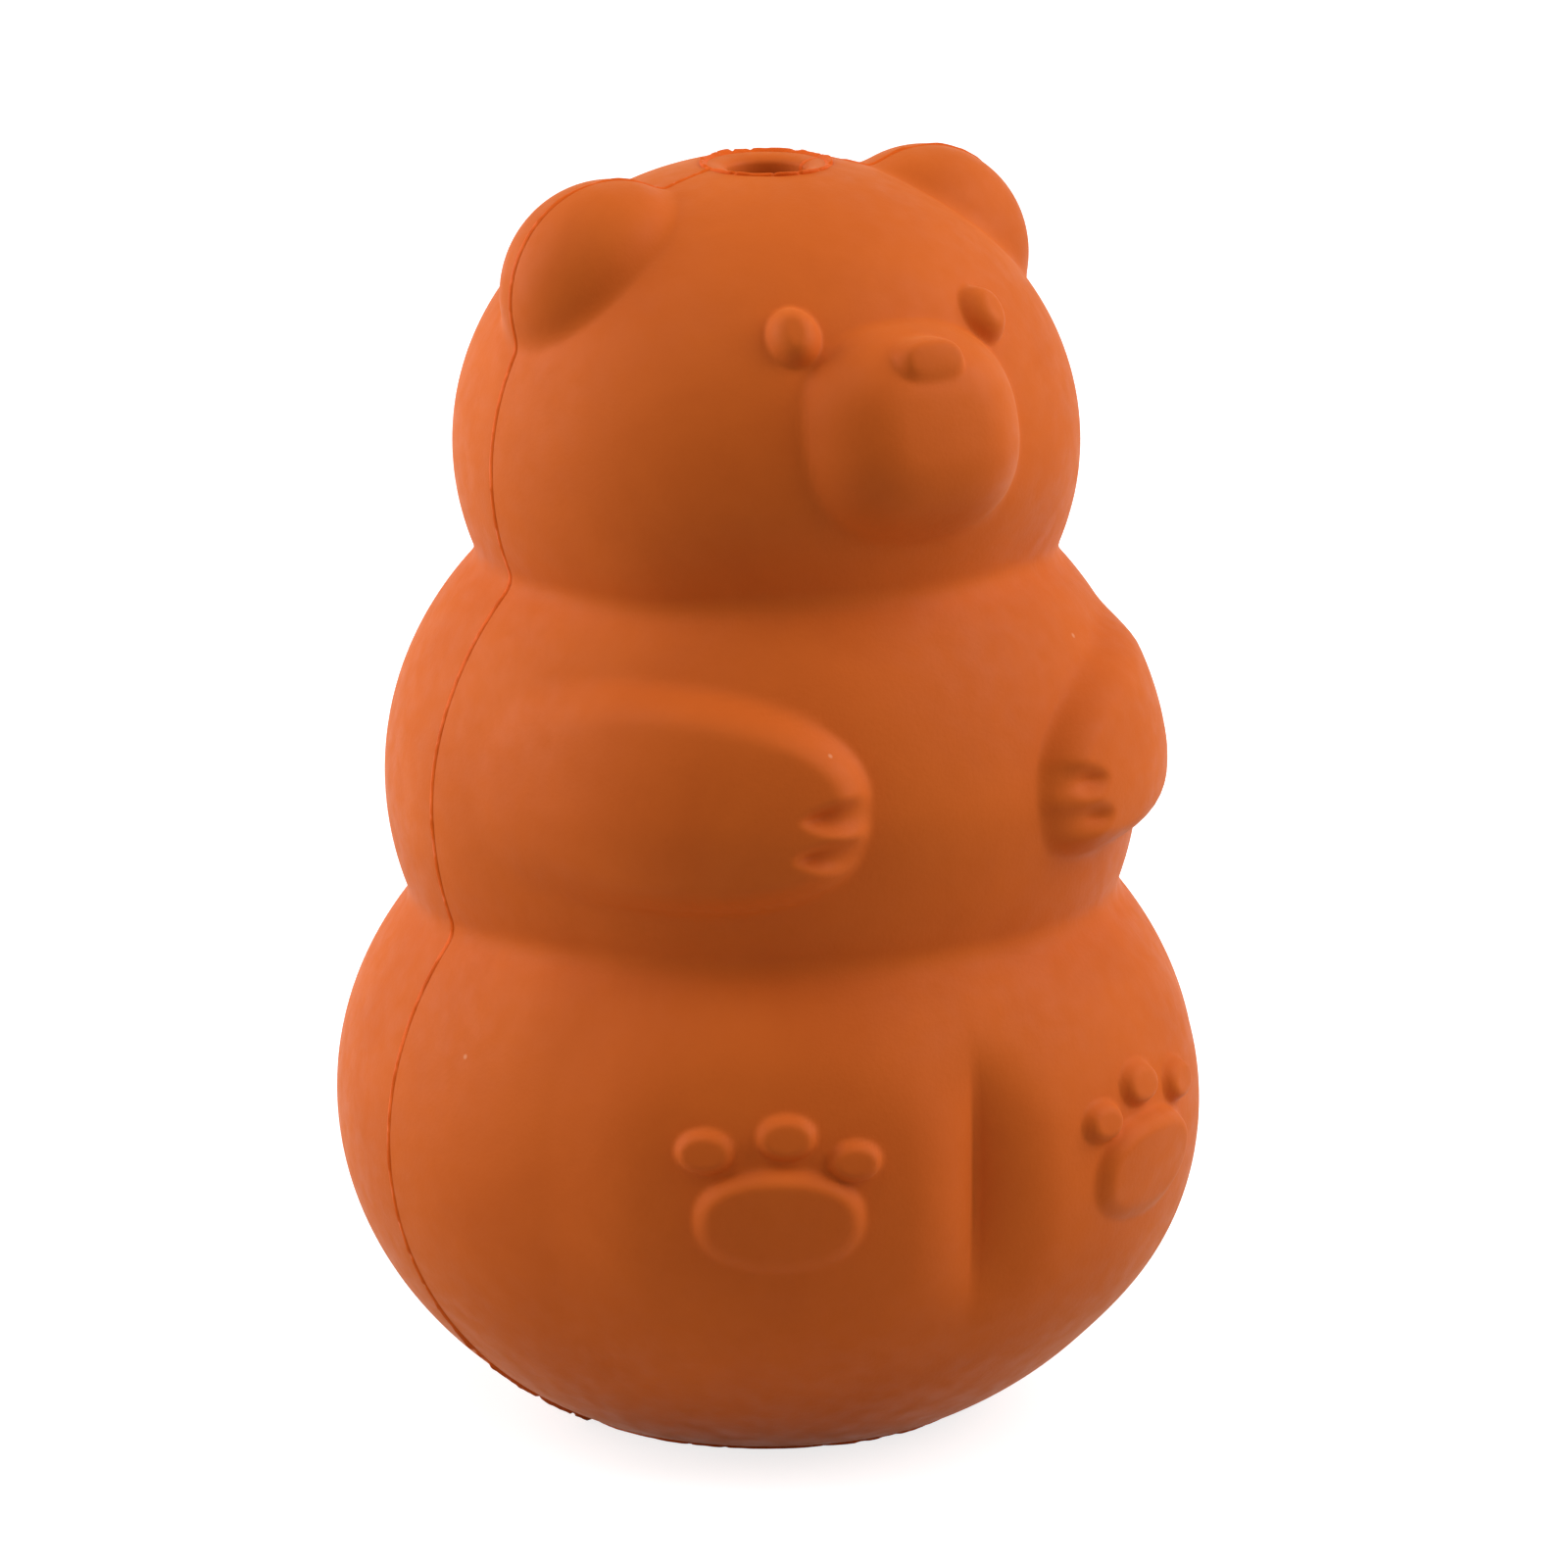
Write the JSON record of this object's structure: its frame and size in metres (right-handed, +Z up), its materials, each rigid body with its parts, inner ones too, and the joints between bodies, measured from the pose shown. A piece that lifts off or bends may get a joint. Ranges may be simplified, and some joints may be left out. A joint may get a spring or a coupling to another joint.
{
  "type": "treat-dispensing pet toy",
  "caption": "Hollow moulded rubber treat toy in the shape of a sitting bear, with a wide mouth in the base and a small hole in the crown.",
  "frame": {"origin": "middle of the flat base that the bear sits on", "axes": "+Z up, the bear faces -Y, its left side is +X"},
  "size_m": [0.0776, 0.0771, 0.1133],
  "materials": {
    "orange_rubber": "matte moulded natural rubber, burnt orange",
    "orange_flash": "thin ragged mould flash in the same orange rubber"
  },
  "bodies": {
    "root": {"front_shell": "orange_rubber", "rear_shell": "orange_rubber", "right_seam": "orange_flash", "left_seam": "orange_flash", "crown_flash": "orange_flash", "base_flash": "orange_flash"}
  },
  "joints": []
}
